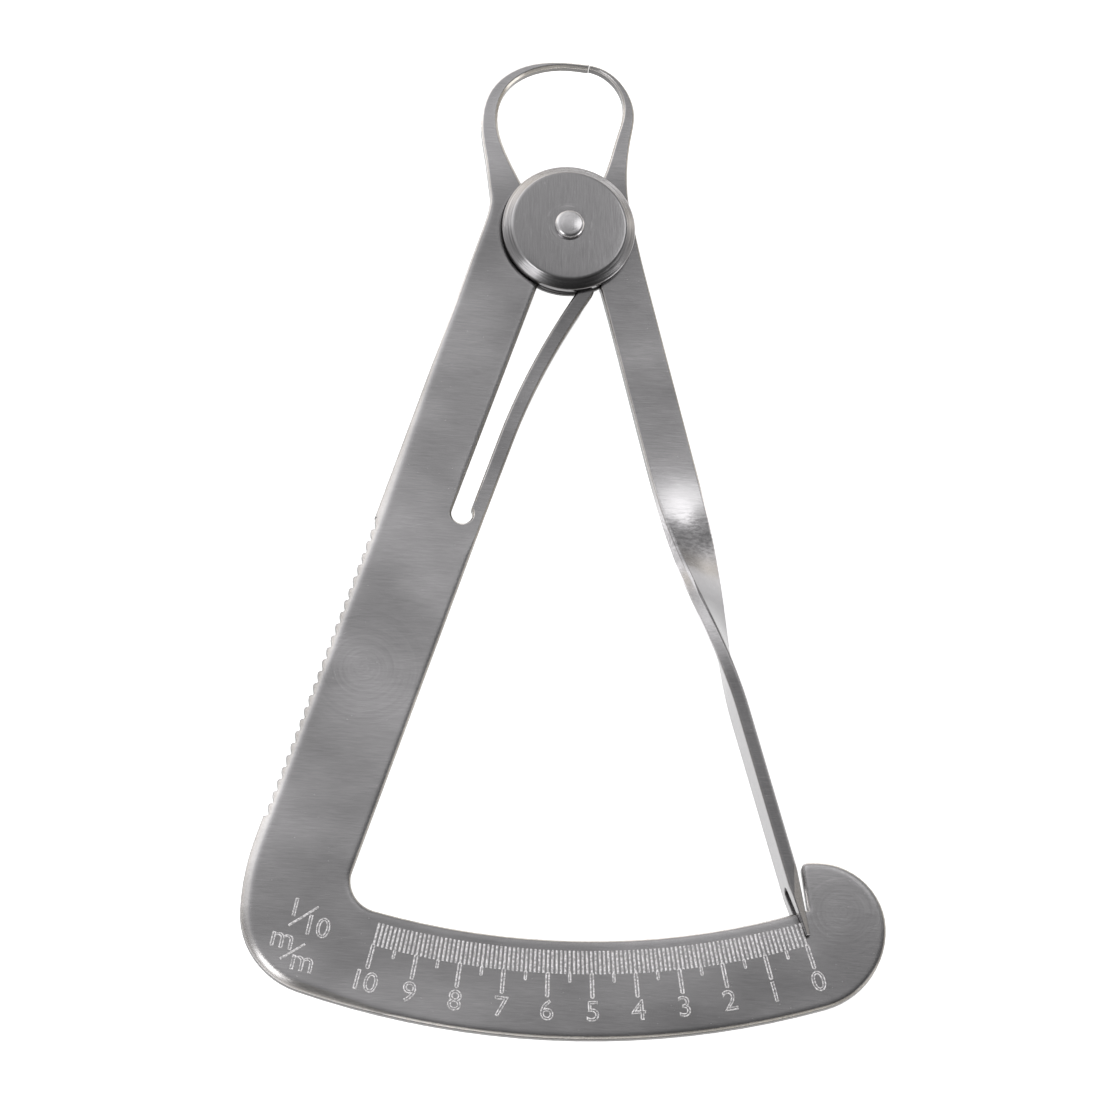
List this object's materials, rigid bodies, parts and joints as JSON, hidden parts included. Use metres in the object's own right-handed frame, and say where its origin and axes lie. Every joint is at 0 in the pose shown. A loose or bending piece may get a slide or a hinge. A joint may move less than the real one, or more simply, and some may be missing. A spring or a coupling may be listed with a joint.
{
  "type": "divider caliper",
  "caption": "Flat spring-return caliper gauge: curved jaws above a disc-covered rivet pivot, a serrated gripping leg with a scale arc, and a twisted pointer leg.",
  "frame": {"origin": "on the pivot axis, at the back of the rear rivet head", "axes": "+Z along the pivot axis out of the engraved front, +Y from the pivot to the jaws, -Y through the middle mark of the scale; jaws closed and pointer at the zero mark"},
  "size_m": [0.0637, 0.1044, 0.0051],
  "materials": {
    "scale_plate": "satin brushed stainless sheet, grain across the leg, fine scratches",
    "leaf_spring": "satin brushed stainless, cut from the same sheet as the plate",
    "pointer_leg": "satin brushed stainless, brighter on the twisted part",
    "cover_disc": "satin stainless with vertical grain and a polished bevel",
    "pivot_rivet": "turned and burnished stainless"
  },
  "bodies": {
    "scale": {"scale_plate": "scale_plate", "cover_disc": "cover_disc", "pivot_rivet": "pivot_rivet"},
    "spring": {"leaf_spring": "leaf_spring"},
    "pointer": {"pointer_leg": "pointer_leg"}
  },
  "joints": [
    {"name": "pointer_swing", "type": "hinge", "parent": "scale", "child": "pointer", "pos_m": [0, 0, 0.00105], "axis": [0, 0, -1], "range_deg": [0, 31.4], "stiffness_Nm_per_rad": 0.04, "springref_deg": -40.11},
    {"name": "spring_flex", "type": "hinge", "parent": "scale", "child": "spring", "pos_m": [-0.00973, -0.0299, 0.00105], "axis": [0, 0, 1], "range_deg": [0, 5.97]}
  ],
  "couplings": [
    {"joint": "spring_flex", "follows": "pointer_swing", "ratio": 0.19}
  ]
}
